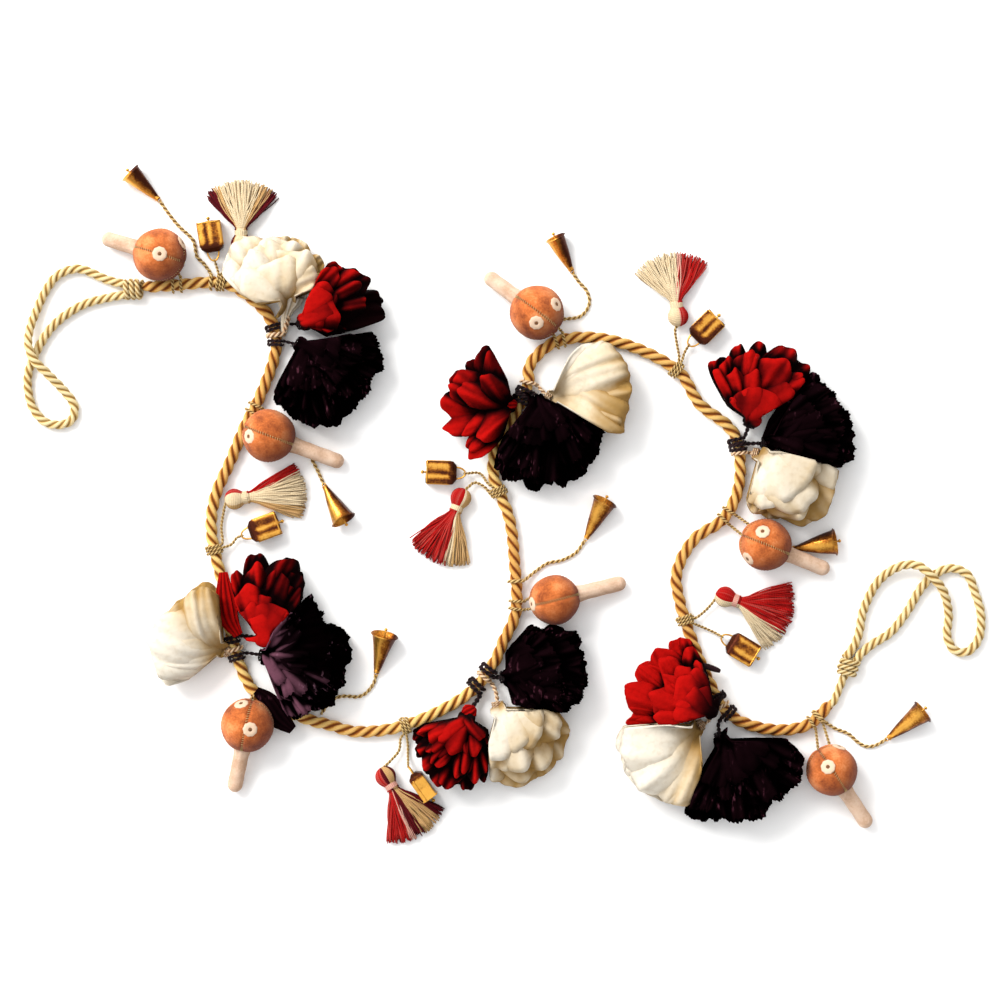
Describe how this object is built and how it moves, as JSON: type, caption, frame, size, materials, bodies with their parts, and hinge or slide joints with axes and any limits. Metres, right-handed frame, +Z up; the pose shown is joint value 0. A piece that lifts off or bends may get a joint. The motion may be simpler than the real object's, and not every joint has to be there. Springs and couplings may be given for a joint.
{
  "type": "pom-pom garland with bells, tassels and toadstools",
  "caption": "Rope garland laid flat in an S, with ruffled cloth pompoms, stuffed toadstools, brass bells and thread tassels, and a hanging loop at each end.",
  "frame": {"origin": "on the surface the garland lies on, under the middle of its bounding box", "axes": "+X along the garland's long side, from the left end loop to the right one as laid; +Y along its width; +Z up from the surface"},
  "size_m": [0.7721, 0.5429, 0.046],
  "materials": {
    "rope": "matt cotton, golden cream",
    "loop_cord": "matt cotton, pale straw",
    "bell_cord": "matt twisted thread",
    "cream_cloth": "thin matt cloth",
    "red_cloth": "thin matt cloth",
    "dark_cloth": "thin cloth with a faint sheen",
    "terracotta_cloth": "matt cloth, stuffed",
    "pale_cloth": "matt cloth, stuffed",
    "tassel_yarn": "matt thread, cream and red",
    "brass": "antique, dark in the folds"
  },
  "bodies": {
    "root": {"rope": "rope", "loop_left": "loop_cord", "loop_right": "loop_cord", "square_bell_1": "brass", "square_bell_2": "brass", "square_bell_3": "brass", "square_bell_4": "brass", "square_bell_5": "brass", "square_bell_6": "brass", "tassel_1": "tassel_yarn", "tassel_2": "tassel_yarn", "tassel_3": "tassel_yarn", "tassel_4": "tassel_yarn", "tassel_5": "tassel_yarn", "tassel_6": "tassel_yarn", "pompom_cream_1": "cream_cloth", "pompom_cream_2": "cream_cloth", "pompom_cream_3": "cream_cloth", "pompom_cream_4": "cream_cloth", "pompom_cream_5": "cream_cloth", "pompom_cream_6": "cream_cloth", "pompom_red_1": "red_cloth", "pompom_red_2": "red_cloth", "pompom_red_3": "red_cloth", "pompom_red_4": "red_cloth", "pompom_red_5": "red_cloth", "pompom_red_6": "red_cloth", "pompom_dark_1": "dark_cloth", "pompom_dark_2": "dark_cloth", "pompom_dark_3": "dark_cloth", "pompom_dark_4": "dark_cloth", "pompom_dark_5": "dark_cloth", "pompom_dark_6": "dark_cloth", "cap_1": "terracotta_cloth", "cap_2": "terracotta_cloth", "cap_3": "terracotta_cloth", "cap_4": "terracotta_cloth", "cap_5": "terracotta_cloth", "cap_6": "terracotta_cloth", "cap_7": "terracotta_cloth", "stem_1": "pale_cloth", "stem_2": "pale_cloth", "stem_3": "pale_cloth", "stem_4": "pale_cloth", "stem_5": "pale_cloth", "stem_6": "pale_cloth", "stem_7": "pale_cloth", "cone_bell_1": "brass", "cone_bell_2": "brass", "cone_bell_3": "brass", "cone_bell_4": "brass", "cone_bell_5": "brass", "cone_bell_6": "brass", "cone_bell_7": "brass", "bell_cord_1": "bell_cord", "bell_cord_2": "bell_cord", "bell_cord_3": "bell_cord", "bell_cord_4": "bell_cord", "bell_cord_5": "bell_cord", "bell_cord_7": "bell_cord"}
  },
  "joints": []
}
